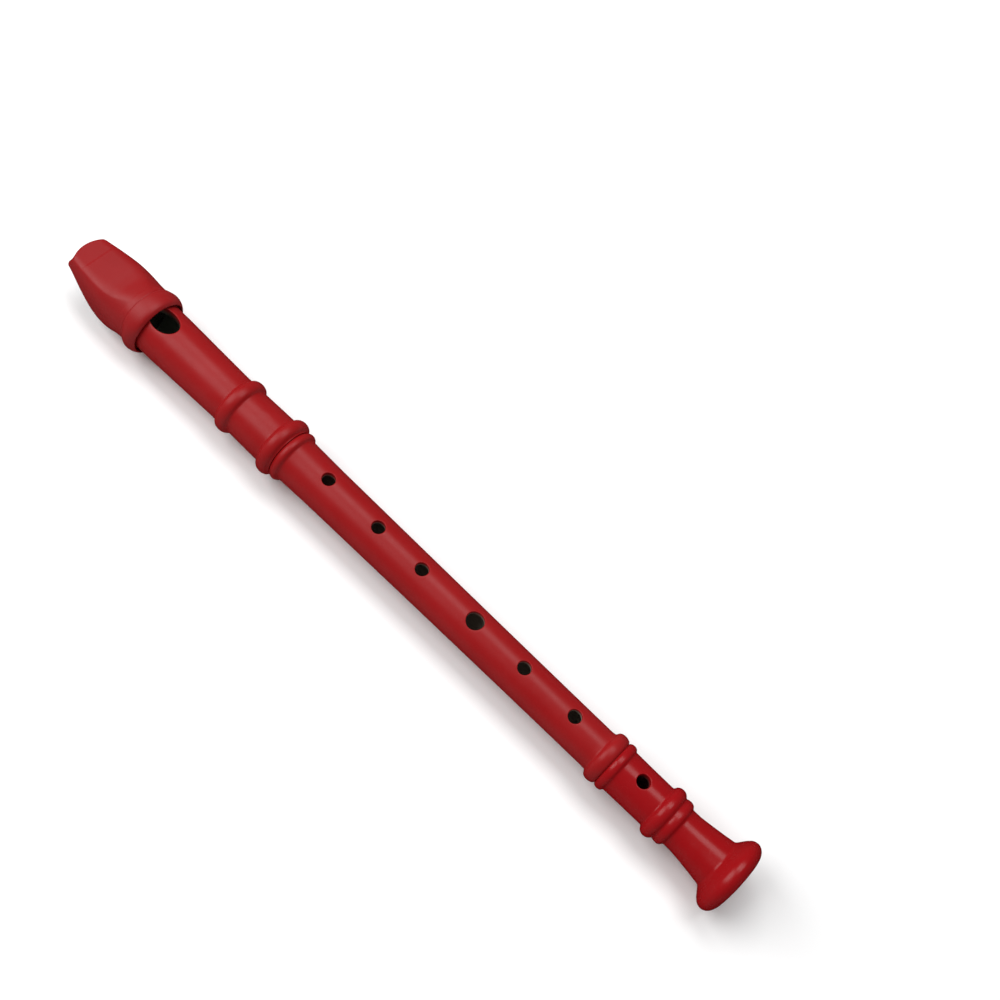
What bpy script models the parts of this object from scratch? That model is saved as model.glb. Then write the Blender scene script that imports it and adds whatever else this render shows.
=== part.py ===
"""Soprano recorder for the classroom: moulded plastic, in three joints.

The recorder lies along +X, mouthpiece at -X and bell at +X, with its finger holes up (+Z). The world
origin is under the middle of its length, at the level of the bell rim's lowest side. Every piece hangs
on one empty, which stands on the bore's axis at the tip of the beak, so X inside a piece is the distance
from the tip, and both joints turn or slide about the piece's own X axis.
"""

import math

import bmesh
import bpy
from mathutils import Matrix, Vector

# ---- driving dimensions, in metres; X is measured from the tip of the beak ----
COLLAR = 0.0375              # crest of the mouthpiece collar
HEAD_END = 0.1108            # where the head joint meets the body
BODY_END = 0.2693            # where the body meets the foot joint
LENGTH = 0.3263              # tip of the beak to the end of the bell

RIM_RADIUS = 0.0145          # bell rim, the widest ring
BEAK_RADIUS = 0.0121         # full round of the mouthpiece
COLLAR_OUTLINE = [           # (X from the crest, radius), from the neck ahead of it to the head tube
    (-0.0055, 0.0120),
    (-0.0028, 0.0119),
    (-0.0020, 0.0124),
    (-0.0010, 0.0129),
    (0.0000, 0.0132),
    (0.0015, 0.0130),
    (0.0030, 0.0124),
    (0.0042, 0.0114),
    (0.0050, 0.0105),
]

BEADS = {                    # ring: (crest X, crest radius, half its width)
    "upper_head": (0.0855, 0.0114, 0.0028),
    "head_socket": (0.1075, 0.0120, 0.0027),
    "body_top": (0.1128, 0.0106, 0.0016),
    "body_bottom": (0.2666, 0.0100, 0.0024),
    "foot_top": (0.2712, 0.0096, 0.0018),
    "upper_foot": (0.2929, 0.0102, 0.0023),
    "lower_foot": (0.2973, 0.0091, 0.0018),
}

HEAD_BORE = 0.0066
BODY_BORE = 0.0058
FOOT_BORE = 0.0054
SPIGOT = (0.0300, 0.0093)    # upper end of the head tube, inside the collar: start X, radius
SPIGOT_END = 0.0430
UPPER_TENON = (0.0165, 0.0081)   # body's top tenon: length, radius
LOWER_TENON = (0.0082, 0.0070)   # body's bottom tenon, short enough to clear the last hole

GAP = 0.0002                 # between tenon and socket, all round
REST_GAP = 0.0003            # between pieces that stay together

HOLE = 0.00255               # finger hole radius
LARGE_HOLE = 0.0034
FINGER_HOLES = [             # (X, radius) on the front of the body, from the top
    (0.1304, HOLE),
    (0.1553, HOLE),
    (0.1768, HOLE),
    (0.2027, LARGE_HOLE),
    (0.2261, HOLE),
    (0.2498, HOLE),
]
THUMB_HOLE = (0.1286, HOLE)
FOOT_HOLE = (0.2811, HOLE)

WINDOW = (0.0450, 0.0067, 0.0046)    # centre X, half length, half width of the oval mouth

WINDWAY_WIDTH = 0.0090
WINDWAY_HEIGHT = 0.0011
ROOF = (0.0078, 0.0096)      # height of the windway's roof over the axis: at the tip, at the window
POCKET_END = 0.0252          # inner end of the beak's opening
POCKET_HALF_WIDTH = (0.0066, 0.0077)     # of the opening: at the tip, at its inner end
POCKET_CHAMFER = (0.0012, 0.0030)        # of its upper corners: at the tip, at its inner end

HEAD_TAPER = [               # tube between its rings: (X, radius)
    (0.0436, 0.0104),
    (0.0560, 0.0102),
    (0.0660, 0.0099),
    (0.0790, 0.0097),
]
SOCKET_TAPER = [(0.0930, 0.0097), (0.1030, 0.0099)]
BODY_TAPER = [
    (0.1180, 0.0091),
    (0.1300, 0.0088),
    (0.1500, 0.0086),
    (0.1800, 0.0084),
    (0.2100, 0.0081),
    (0.2400, 0.0080),
    (0.2600, 0.0079),
]
FOOT_TAPER = [(0.2780, 0.0084), (0.2880, 0.0083)]
BELL_CONE = [
    (0.3005, 0.0076),
    (0.3030, 0.0076),
    (0.3060, 0.0079),
    (0.3090, 0.0083),
    (0.3120, 0.0087),
    (0.3150, 0.0092),
    (0.3171, 0.0095),
]
BELL_FLANGE = [(0.3183, 0.0112), (0.3195, 0.0126), (0.3208, 0.0138)]
RIM_CREST = 0.3220           # X of the rim's widest ring
BELL_FACE = (0.0088, 0.0104) # flat end of the bell: inner and outer radius
BELL_MOUTH = [(0.3240, 0.0084), (0.3163, 0.0066), (0.3060, FOOT_BORE)]    # the bore's flare, inwards

SIDES = 40                   # facets round a turned piece
HOLE_SIDES = 16
ROUND_STEPS = 6              # facets along a half-round ring, or along the bell's rounded rim
AXIS_HEIGHT = RIM_RADIUS * math.cos(math.pi / SIDES)

RED = (0.30, 0.020, 0.022)
DARK = (0.022, 0.018, 0.016)


# ---- helpers ----

def clear_scene():
    for old in list(bpy.data.objects):
        bpy.data.objects.remove(old)


def plastic(name, colour, roughness):
    material = bpy.data.materials.new(name)
    material.use_nodes = True
    shader = material.node_tree.nodes["Principled BSDF"]
    shader.inputs["Base Color"].default_value = (*colour, 1.0)
    shader.inputs["Roughness"].default_value = roughness
    shader.inputs["Metallic"].default_value = 0.0
    material.diffuse_color = (*colour, 1.0)
    return material


def add_object(name, mesh, parent, material=None):
    piece = bpy.data.objects.new(name, mesh)
    bpy.context.scene.collection.objects.link(piece)
    piece.parent = parent
    if material:
        mesh.materials.append(material)
        mesh.shade_smooth()
        mesh.set_sharp_from_angle(angle=math.radians(32))
    return piece


def mesh_from(name, points, faces):
    """A closed mesh with its faces turned outwards."""
    work = bmesh.new()
    verts = [work.verts.new(p) for p in points]
    for face in faces:
        work.faces.new([verts[i] for i in face])
    bmesh.ops.recalc_face_normals(work, faces=work.faces)
    mesh = bpy.data.meshes.new(name)
    work.to_mesh(mesh)
    work.free()
    return mesh


def rings(name, loops, closed):
    """Skins a row of point loops. A closed row joins the last loop to the first; an open one is capped."""
    count = len(loops[0])
    points = [p for loop in loops for p in loop]
    faces = []
    pairs = len(loops) if closed else len(loops) - 1
    for i in range(pairs):
        a = i * count
        b = (i + 1) % len(loops) * count
        for k in range(count):
            n = (k + 1) % count
            faces.append((a + k, a + n, b + n, b + k))
    if not closed:
        faces.append(tuple(range(count)))
        faces.append(tuple(len(points) - count + k for k in range(count)))
    return mesh_from(name, points, faces)


def circle(x, radius, sides=SIDES):
    """One ring about the X axis, with a flat facet at the bottom."""
    step = 2 * math.pi / sides
    angles = [(k + 0.5) * step for k in range(sides)]
    return [Vector((x, radius * math.sin(a), radius * math.cos(a))) for a in angles]


def turned(name, outline):
    """A tube turned about X from a closed outline of (X, radius) points."""
    return rings(name, [circle(x, r) for x, r in outline], closed=True)


def bead(ring, before, after):
    """Outline of a half-round ring that rises from radius before and falls to radius after."""
    centre, crest, half = BEADS[ring]
    points = []
    for i in range(ROUND_STEPS + 1):
        turn = math.pi * i / ROUND_STEPS
        foot = before if i * 2 < ROUND_STEPS else after
        points.append((centre - half * math.cos(turn), foot + (crest - foot) * math.sin(turn)))
    return points


def prism(name, outline, low, high, axis):
    """A straight prism along Y or Z. The outline is (X, Z) points for Y and (X, Y) points for Z."""
    def place(a, b, c):
        return Vector((a, c, b)) if axis == "Y" else Vector((a, b, c))

    loops = [[place(a, b, low) for a, b in outline], [place(a, b, high) for a, b in outline]]
    return rings(name, loops, closed=False)


def rod(name, start, end, radius, sides=SIDES):
    return rings(name, [circle(start, radius, sides), circle(end, radius, sides)], closed=False)


def combine(piece, tool, operation="DIFFERENCE"):
    """Adds a Boolean with a tool that is left out of the model."""
    tool.hide_render = True
    tool.display_type = "WIRE"
    step = piece.modifiers.new(tool.name, "BOOLEAN")
    step.operation = operation
    step.object = tool
    step.solver = "EXACT"


def drill(piece, parent, label, x, radius, turn=0.0, stretch=1.0):
    """Cuts a hole from the axis outwards, at an angle about X from the top. Stretch makes it an oval."""
    reach = 0.020
    work = bmesh.new()
    bmesh.ops.create_cone(work, cap_ends=True, segments=HOLE_SIDES, radius1=radius, radius2=radius,
                          depth=reach)
    bmesh.ops.scale(work, vec=(stretch, 1, 1), verts=work.verts)
    bmesh.ops.translate(work, vec=(x, 0, reach / 2), verts=work.verts)
    bmesh.ops.rotate(work, cent=(0, 0, 0), matrix=Matrix.Rotation(turn, 3, "X"), verts=work.verts)
    mesh = bpy.data.meshes.new(label)
    work.to_mesh(mesh)
    work.free()
    combine(piece, add_object(label, mesh, parent))


# ---- the beak's shape ----

SCOOP = [                    # (X, Z) along the cut under the beak, from the tip to the full round
    (-0.0020, 0.0044),
    (0.0000, 0.0039),
    (0.0054, 0.0026),
    (0.0103, -0.0004),
    (0.0152, -0.0037),
    (0.0200, -0.0070),
    (0.0238, -0.0096),
    (0.0268, -0.0110),
    (0.0300, -0.0119),
    (0.0330, -0.0125),
]
FACET = [(0.0035, 0.0095), (0.0325, 0.0121)]     # the flat on the front of the beak: (X, Z) at its ends
BLOCK_FLOOR = [              # (X, Z) along the underside of the block, which lies back from the scoop
    (-0.0040, 0.0058),
    (0.0052, 0.0033),
    (0.0104, 0.0006),
    (0.0154, -0.0022),
    (0.0204, -0.0052),
    (POCKET_END - REST_GAP, -0.0078),
]
TIP_LEVEL = 0.0039           # height of the scoop at the tip
TIP_SLANT = 0.62             # how far the end face leans back, per unit of height
TIP_HALF_WIDTH = 0.0080
FULL_WIDTH = 0.0270          # X where the beak reaches its full width
BACK_ROUND = 0.0330          # X where the squarish back of the beak has become round
CAP_BOW = 0.0016             # how far the tip's corners lie behind its middle
BLOCK_BOW = 0.0009
REACH = 0.030                # tools reach this far past the piece they cut


def along(pair, x):
    """A size that changes evenly from the tip to the inner end of the beak's opening."""
    start, end = pair
    return start + (end - start) * x / POCKET_END


def facet_height(x):
    (x0, z0), (x1, z1) = FACET
    return z0 + (z1 - z0) * (x - x0) / (x1 - x0)


def beak_section(x):
    """An outline about the axis: squarer towards the tip, and squarer on the scoop's side than in front."""
    share = min(max(x / FULL_WIDTH, 0.0), 1.0)
    width = TIP_HALF_WIDTH + (BEAK_RADIUS - TIP_HALF_WIDTH) * math.sin(share * math.pi / 2)
    rounding = min(max((x - FULL_WIDTH) / (BACK_ROUND - FULL_WIDTH), 0.0), 1.0)
    front_power = 2.0 / (2.6 - 0.6 * share)
    back_power = 2.0 / (3.1 - 1.1 * rounding)
    loop = []
    for k in range(SIDES):
        turn = (k + 0.5) * 2 * math.pi / SIDES
        side = math.sin(turn)
        up = math.cos(turn)
        power = front_power if up > 0 else back_power
        y = width * math.copysign(abs(side) ** power, side)
        z = BEAK_RADIUS * math.copysign(abs(up) ** power, up)
        loop.append(Vector((x, y, z)))
    return loop


def tip_cutter(name, bow, back):
    """Everything ahead of a leaning end face, which is bowed in plan and set back by the given amount."""
    wide = 0.012
    steps = 16
    plan = []
    for i in range(steps + 1):
        y = wide * (2 * i / steps - 1)
        plan.append((back + bow * (y / TIP_HALF_WIDTH) ** 2, y))
    loops = []
    for z in (-REACH, REACH):
        lean = TIP_SLANT * (z - TIP_LEVEL)
        face = [Vector((x + lean, y, z)) for x, y in plan]
        loops.append(face + [Vector((-REACH, wide, z)), Vector((-REACH, -wide, z))])
    return rings(name, loops, closed=False)


def pocket(name, inset, floor):
    """The space under the beak's roof or, with an inset, the block that fills it. Floor is its underside."""
    loops = []
    for x, low in floor:
        top = along(ROOF, x) - inset
        half = along(POCKET_HALF_WIDTH, x) - inset
        chamfer = along(POCKET_CHAMFER, x)
        shoulder = top - 0.9 * chamfer
        side = [(half, low), (half, shoulder), (half - chamfer, top)]
        loop = [Vector((x, y, z)) for y, z in side]
        loop += [Vector((x, -y, z)) for y, z in reversed(side)]
        loops.append(loop)
    return rings(name, loops, closed=False)


def build_cap(parent, material):
    """Mouthpiece cap: beak, roof of the windway, side walls and collar, in one moulding."""
    loops = [beak_section(-0.0010 + 0.0025 * i) for i in range(13)]
    loops += [circle(COLLAR + dx, radius) for dx, radius in COLLAR_OUTLINE]
    cap = add_object("mouthpiece_cap", rings("mouthpiece_cap", loops, closed=False), parent, material)

    scoop = SCOOP + [(SCOOP[-1][0], -REACH), (SCOOP[0][0], -REACH)]
    combine(cap, add_object("cut_scoop", prism("cut_scoop", scoop, -REACH, REACH, "Y"), parent))
    start, end = -0.005, FACET[1][0]
    front = [(start, facet_height(start)), (end, facet_height(end)), (end, REACH), (start, REACH)]
    combine(cap, add_object("cut_facet", prism("cut_facet", front, -REACH, REACH, "Y"), parent))
    bow_at_wall = CAP_BOW * (POCKET_HALF_WIDTH[0] / TIP_HALF_WIDTH) ** 2
    combine(cap, add_object("cut_tip", tip_cutter("cut_tip", CAP_BOW, -bow_at_wall), parent))

    socket_start = SPIGOT[0] - REST_GAP
    socket = rod("cut_socket", socket_start, COLLAR + REACH, SPIGOT[1] + REST_GAP)
    combine(cap, add_object("cut_socket", socket, parent))
    web_start, web_end = POCKET_END - 0.001, socket_start + 0.001
    combine(cap, add_object("cut_web", rod("cut_web", web_start, web_end, HEAD_BORE), parent))
    half = WINDWAY_WIDTH / 2 + REST_GAP
    slot = [(web_start, -half), (web_end, -half), (web_end, half), (web_start, half)]
    combine(cap, add_object("cut_slot", prism("cut_slot", slot, 0.0, ROOF[1], "Z"), parent))
    space = pocket("cut_pocket", 0.0, [(-0.005, -REACH), (POCKET_END, -REACH)])
    combine(cap, add_object("cut_pocket", space, parent))
    return cap


def build_block(parent, material):
    """Fipple block: fills the beak, plugs the bore and carries the windway as a groove in its top."""
    block = add_object("fipple_block", pocket("fipple_block", REST_GAP, BLOCK_FLOOR), parent, material)

    start, end = BLOCK_FLOOR[0][0], BLOCK_FLOOR[-1][0]
    ridge_half = 0.0006
    ridge_drop = 0.0006
    ridge = [(x, z - ridge_drop) for x, z in BLOCK_FLOOR] + [(end, 0.0), (start, 0.0062)]
    combine(block, add_object("add_ridge", prism("add_ridge", ridge, -ridge_half, ridge_half, "Y"), parent),
            "UNION")
    inside = end - 0.002
    block_end = WINDOW[0] - WINDOW[1] - 0.0004
    plug = rod("add_plug", inside, block_end, HEAD_BORE - REST_GAP)
    combine(block, add_object("add_plug", plug, parent), "UNION")
    side = WINDWAY_WIDTH / 2 - 0.0005
    tongue = [(inside, -side), (block_end, -side), (block_end, side), (inside, side)]
    top = ROOF[1] - WINDWAY_HEIGHT
    combine(block, add_object("add_tongue", prism("add_tongue", tongue, 0.0, top, "Z"), parent), "UNION")

    side = WINDWAY_WIDTH / 2 - 0.0002
    floor = [(x, along(ROOF, x) - WINDWAY_HEIGHT) for x in (-0.006, POCKET_END)]
    groove = floor + [(POCKET_END, REACH), (-0.006, REACH)]
    combine(block, add_object("cut_groove", prism("cut_groove", groove, -side, side, "Y"), parent))
    combine(block, add_object("cut_block_tip", tip_cutter("cut_block_tip", BLOCK_BOW, 0.0), parent))
    return block


# ---- the turned joints ----

def build_head(parent, material):
    """Head tube: spigot inside the collar, oval window, two rings and the socket for the body."""
    socket_start = HEAD_END - UPPER_TENON[0] - REST_GAP
    socket_radius = UPPER_TENON[1] + GAP
    outline = [SPIGOT, (SPIGOT_END, SPIGOT[1])] + HEAD_TAPER
    outline += bead("upper_head", 0.0096, 0.0097)
    outline += SOCKET_TAPER
    outline += bead("head_socket", 0.0099, 0.0102)
    outline += [
        (HEAD_END, 0.0102),
        (HEAD_END, socket_radius),
        (socket_start, socket_radius),
        (socket_start, HEAD_BORE),
        (SPIGOT[0], HEAD_BORE),
    ]
    head = add_object("head_tube", turned("head_tube", outline), parent, material)
    drill(head, parent, "cut_window", WINDOW[0], WINDOW[2], stretch=WINDOW[1] / WINDOW[2])
    half = WINDWAY_WIDTH / 2 + REST_GAP
    end = WINDOW[0] - WINDOW[1] + 0.002
    notch = [(SPIGOT[0] - 0.001, -half), (end, -half), (end, half), (SPIGOT[0] - 0.001, half)]
    combine(head, add_object("cut_notch", prism("cut_notch", notch, 0.0, 0.02, "Z"), parent))
    return head


def build_body(parent, material):
    """Body tube: a tenon at each end, a ring at each shoulder, six finger holes and the thumb hole."""
    start = HEAD_END + REST_GAP
    end = BODY_END - REST_GAP
    outline = [
        (HEAD_END - UPPER_TENON[0], UPPER_TENON[1] - 0.0003),
        (HEAD_END - UPPER_TENON[0] + 0.0006, UPPER_TENON[1]),
        (start, UPPER_TENON[1]),
        (start, 0.0092),
    ]
    outline += bead("body_top", 0.0092, 0.0091)
    outline += BODY_TAPER
    outline += bead("body_bottom", 0.0079, 0.0089)
    outline += [
        (end, 0.0089),
        (end, LOWER_TENON[1]),
        (BODY_END + LOWER_TENON[0] - 0.0006, LOWER_TENON[1]),
        (BODY_END + LOWER_TENON[0], LOWER_TENON[1] - 0.0003),
        (BODY_END + LOWER_TENON[0], BODY_BORE),
        (HEAD_END - UPPER_TENON[0], HEAD_BORE),
    ]
    body = add_object("body_tube", turned("body_tube", outline), parent, material)
    for number, (x, radius) in enumerate(FINGER_HOLES, start=1):
        drill(body, parent, f"cut_hole_{number}", x, radius)
    drill(body, parent, "cut_thumb_hole", *THUMB_HOLE, turn=math.pi)
    return body


def build_foot(parent, material):
    """Foot joint: socket, ring, last finger hole, two rings, and the cone that flares into the bell."""
    socket_end = BODY_END + LOWER_TENON[0] + REST_GAP
    socket_radius = LOWER_TENON[1] + GAP
    outline = [(BODY_END, 0.0089)]
    outline += bead("foot_top", 0.0089, 0.0084)
    outline += FOOT_TAPER
    outline += bead("upper_foot", 0.0083, 0.0082)
    outline += bead("lower_foot", 0.0079, 0.0076)
    outline += BELL_CONE + BELL_FLANGE
    inner, outer = BELL_FACE
    for i in range(ROUND_STEPS + 1):
        turn = math.pi / 2 * i / ROUND_STEPS
        x = RIM_CREST + (LENGTH - RIM_CREST) * math.sin(turn)
        outline.append((x, outer + (RIM_RADIUS - outer) * math.cos(turn)))
    outline.append((LENGTH, inner))
    outline += BELL_MOUTH
    outline += [
        (socket_end, FOOT_BORE),
        (socket_end, socket_radius),
        (BODY_END, socket_radius),
    ]
    foot = add_object("foot_joint", turned("foot_joint", outline), parent, material)
    drill(foot, parent, "cut_foot_hole", *FOOT_HOLE)
    return foot


def build():
    clear_scene()
    axis = bpy.data.objects.new("bore_axis", None)
    axis.location = (-LENGTH / 2, 0.0, AXIS_HEIGHT)
    bpy.context.scene.collection.objects.link(axis)

    red = plastic("red_plastic", RED, 0.42)
    foot_red = plastic("foot_plastic", RED, 0.34)
    dark = plastic("block_plastic", DARK, 0.30)
    build_cap(axis, red)
    build_block(axis, dark)
    build_head(axis, red)
    build_body(axis, red)
    build_foot(axis, foot_red)


build()
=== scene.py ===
"""Looks of the soprano recorder: five moulded pieces, a pale floor and soft light.

Inside a piece, X is the distance from the tip of the beak and the bore's axis is y = z = 0, all in
metres. The tubes are turned from rounded outlines, with the finger holes let into their grids. The
mouthpiece and its block are closed surfaces of a distance field, so that every edge has its
moulded rounding.
"""
import math

import bmesh
import bpy
import numpy as np
from mathutils import Matrix, Vector


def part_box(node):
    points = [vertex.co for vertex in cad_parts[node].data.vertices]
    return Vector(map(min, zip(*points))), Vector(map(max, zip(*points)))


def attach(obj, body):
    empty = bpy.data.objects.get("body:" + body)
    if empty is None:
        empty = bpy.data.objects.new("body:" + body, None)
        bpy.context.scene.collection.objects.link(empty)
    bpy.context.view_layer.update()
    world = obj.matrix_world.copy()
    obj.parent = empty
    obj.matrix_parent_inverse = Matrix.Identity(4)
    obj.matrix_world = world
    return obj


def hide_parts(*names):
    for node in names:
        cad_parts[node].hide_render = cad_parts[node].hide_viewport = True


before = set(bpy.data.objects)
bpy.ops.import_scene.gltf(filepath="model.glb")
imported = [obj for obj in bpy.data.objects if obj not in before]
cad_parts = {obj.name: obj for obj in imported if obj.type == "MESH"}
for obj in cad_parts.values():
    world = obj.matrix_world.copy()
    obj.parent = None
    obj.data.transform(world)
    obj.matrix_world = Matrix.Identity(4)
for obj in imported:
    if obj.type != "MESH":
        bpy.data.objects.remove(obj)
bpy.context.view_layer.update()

# ---- the frame ----
cap_low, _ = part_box("mouthpiece_cap")
_, head_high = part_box("head_tube")
foot_low, foot_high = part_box("foot_joint")
ORIGIN = Vector((cap_low.x, 0.0, (foot_low.z + foot_high.z) / 2))    # the beak's tip, on the axis
LENGTH = foot_high.x - ORIGIN.x
HEAD_END = head_high.x - ORIGIN.x
BODY_END = foot_low.x - ORIGIN.x
AXIS_HEIGHT = ORIGIN.z

MM = 0.001


def in_metres(rows):
    """Rows of millimetres as rows of metres."""
    return [tuple(value * MM for value in row) for row in rows]


# ---- grids of the turned pieces ----
SEGMENTS = 144               # round a turned piece
STEP = 0.9 * MM              # along a plain tube
RING_STEP = 0.3 * MM         # along a ring
NEAR_RING = 1.2 * MM         # beyond a ring's feet, where the steps are still short
LEAST_STEP = 0.1             # of a ring's step: a row that is closer to the end is the last one
ROW_CLEARANCE = 0.4          # of a step: the least between a hole's rows and the rows beside them
FINE = 0.1 * MM              # of the radius tables
EASE = 5                     # steps of a radius table that its easing averages
EASE_ROUNDS = 2
HOLE_CELLS = 10              # steps of a tube's grid across a hole
HOLE_MARGIN = 1.6 * MM       # along the tube, from a hole's edge to the end of its gap in the grid
SIDE_MARGIN = 0.7 * MM       # the same round the tube
SAME_X = 1e-7                # m: rows closer than this to the end of a gap are part of it
LIP = 0.3 * MM               # rounding of a finger hole's edge
TO_THE_LIP = (0.3, 0.58, 0.82, 1.0)      # shares of the way from the grid to the lip
ROUND_THE_LIP = (22.5, 45.0, 67.5, 90.0)             # degrees
SHARP_EDGE = math.radians(50)            # edges that turn by more are shaded sharp

# ---- meshes of the distance fields ----
CAP_CELL = 0.28 * MM
BLOCK_CELL = 0.26 * MM
SETTLING_ROUNDS = 4          # in which the vertices are moved onto the surface
PROBE = 0.2                  # of a cell: half the distance over which a slope is measured
LONGEST_MOVE = 0.4           # of a cell, in one round
LEAST_SLOPE = 0.05           # of a field, squared
NOT_ZERO = 1e-12             # m: least length of a move that is divided by
CURVE_POINTS = 600           # of a smooth curve's table

# ---- sizes that several pieces share ----
REST_GAP = 0.15 * MM         # between pieces that are fixed to each other
COLLAR = 37.5 * MM           # X of the collar's crest
COLLAR_RADIUS = 13.2 * MM    # there, for the slope of the floor
RIM_RADIUS = 14.5 * MM
HEAD_BORE = 6.6 * MM
BODY_BORE = 5.8 * MM
FOOT_BORE = 5.4 * MM
SPIGOT_START = 30.0 * MM
SPIGOT_END = 40.0 * MM
SPIGOT_RADIUS = 9.3 * MM
UPPER_TENON = (16.5 * MM, 8.1 * MM)     # length, radius
LOWER_TENON = (8.2 * MM, 7.0 * MM)
TENON_GAP = 0.2 * MM
SOCKET_SPARE = 0.3 * MM      # depth of a socket past the end of its tenon
SOCKET_SLOPE = 0.1 * MM      # length over which a socket narrows to the bore
SEAM = 0.15 * MM             # rounding of the edges where two joints meet
SEAM_STEPS = 4
SEAM_FALL = (18, 90)         # degrees of that rounding at the end of a joint, see arc
SEAM_RISE = (-90, -10)       # and at the start of the next one
SEAM_GAP = 0.06 * MM         # from the body to the head and to the foot
CHAMFER = 0.3 * MM           # of the rims of spigots, tenons and sockets
TENON_CHAMFER = 0.5 * MM     # its length at the ends of the body

WINDOW = (45.0 * MM, 6.7 * MM, 4.6 * MM)    # centre X, half length, half width
WINDOW_LIP = 0.35 * MM
WINDOW_MARGIN = 1.2 * MM
HOLE = 2.55 * MM             # radius
LARGE_HOLE = 3.4 * MM
FINGER_HOLES = [
    (130.4 * MM, HOLE),
    (155.3 * MM, HOLE),
    (176.8 * MM, HOLE),
    (202.7 * MM, LARGE_HOLE),
    (226.1 * MM, HOLE),
    (249.8 * MM, HOLE),
]
THUMB_HOLE = (128.6 * MM, HOLE)
FOOT_HOLE = (281.1 * MM, HOLE)
FOOT_HOLE_MARGIN = 0.5 * MM  # short, because the socket ends just ahead of this hole
THUMB_ROWS = 4.5 * MM        # reach of the rows that finger hole 1 and the thumb hole share


# ---- meshes ----

def add_piece(name, mesh, material, body, node):
    piece = bpy.data.objects.new(name, mesh)
    bpy.context.scene.collection.objects.link(piece)
    piece.location = ORIGIN
    mesh.materials.append(material)
    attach(piece, body)
    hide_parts(node)
    return piece


def profile(tube, rings=()):
    """Radius at any X of a tapered tube, from (X, radius) points, with half-round rings on it.

    A ring is (crest X, crest radius, half width), and its feet are eased into the tube.
    """
    xs = np.arange(tube[0][0], tube[-1][0] + FINE, FINE)
    rs = np.interp(xs, [x for x, _ in tube], [r for _, r in tube])
    for centre, crest, half in rings:
        along = np.clip((xs - centre) / half, -1, 1)
        rs = rs + np.maximum(crest - rs, 0) * np.sqrt(1 - along ** 2)
    for _ in range(EASE_ROUNDS):
        rs = np.convolve(np.pad(rs, EASE // 2, mode="edge"), np.ones(EASE) / EASE, mode="valid")
    return lambda x: float(np.interp(x, xs, rs))


def stations(start, end, holes=(), rings=()):
    """X positions along a tube, closer on its rings, with an even row of steps across each hole."""
    rows = [start]
    while rows[-1] < end - LEAST_STEP * RING_STEP:
        x = rows[-1]
        near = any(abs(x - centre) < half + NEAR_RING for centre, _, half in rings)
        rows.append(min(end, x + (RING_STEP if near else STEP)))
    for hole in holes:
        low, high = hole["middle"] - hole["reach"], hole["middle"] + hole["reach"]
        clear = ROW_CLEARANCE * STEP
        rows = [x for x in rows if not low - clear < x < high + clear]
        rows += [low + (high - low) * k / HOLE_CELLS for k in range(HOLE_CELLS + 1)]
    return sorted(rows)


def hole_at(x, half_length, half_width, side=1, lip=LIP):
    """A hole through a tube's wall, on its front (side 1) or back (side -1), with a rounded lip.

    Middle and reach bound the rows of the tube's grid that make way for it.
    """
    return {"x": x, "a": half_length, "b": half_width, "side": side, "lip": lip,
            "middle": x, "reach": half_length + HOLE_MARGIN}


def drop(work, radius_at, hole, x, y):
    """A vertex of the tube's surface above or below the point (x, y) of the plan."""
    return work.verts.new((x, y, hole["side"] * math.sqrt(radius_at(x) ** 2 - y ** 2)))


def join_loops(work, first, second):
    """A band of faces between two loops with the same number of vertices."""
    count = len(first)
    for k in range(count):
        n = (k + 1) % count
        work.faces.new((first[k], first[n], second[n], second[k]))


def let_in_hole(work, hole, outer, inner, outer_at, inner_at):
    """Joins the gap in the outer grid to the gap in the inner one.

    From outside: rings that narrow from the grid to the lip, the round lip, the hole's wall, and
    a ring that widens to the inner grid.
    """
    a, b, lip, side = hole["a"], hole["b"], hole["lip"], hole["side"]
    turns = [math.atan2(v.co.y / b, (v.co.x - hole["x"]) / a) for v in outer]
    edge = [(math.cos(t), math.sin(t)) for t in turns]
    last = outer
    for share in TO_THE_LIP:
        ring = []
        for v, (c, s) in zip(outer, edge):
            goal = Vector((hole["x"] + (a + lip) * c, (b + lip) * s))
            point = Vector(v.co[:2]).lerp(goal, share)
            ring.append(drop(work, outer_at, hole, point.x, point.y))
        join_loops(work, last, ring)
        last = ring
    for turn in ROUND_THE_LIP:
        out = lip * (1 - math.sin(math.radians(turn)))
        down = lip * (1 - math.cos(math.radians(turn)))
        ring = []
        for c, s in edge:
            v = drop(work, outer_at, hole, hole["x"] + (a + out) * c, (b + out) * s)
            v.co.z -= side * down
            ring.append(v)
        join_loops(work, last, ring)
        last = ring
    rim = [drop(work, inner_at, hole, hole["x"] + a * c, b * s) for c, s in edge]
    join_loops(work, last, rim)
    ring = []
    for v, (c, s) in zip(inner, edge):
        point = Vector(v.co[:2]).lerp(Vector((hole["x"] + a * c, b * s)), 0.5)
        ring.append(drop(work, inner_at, hole, point.x, point.y))
    join_loops(work, rim, ring)
    join_loops(work, ring, inner)


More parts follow.
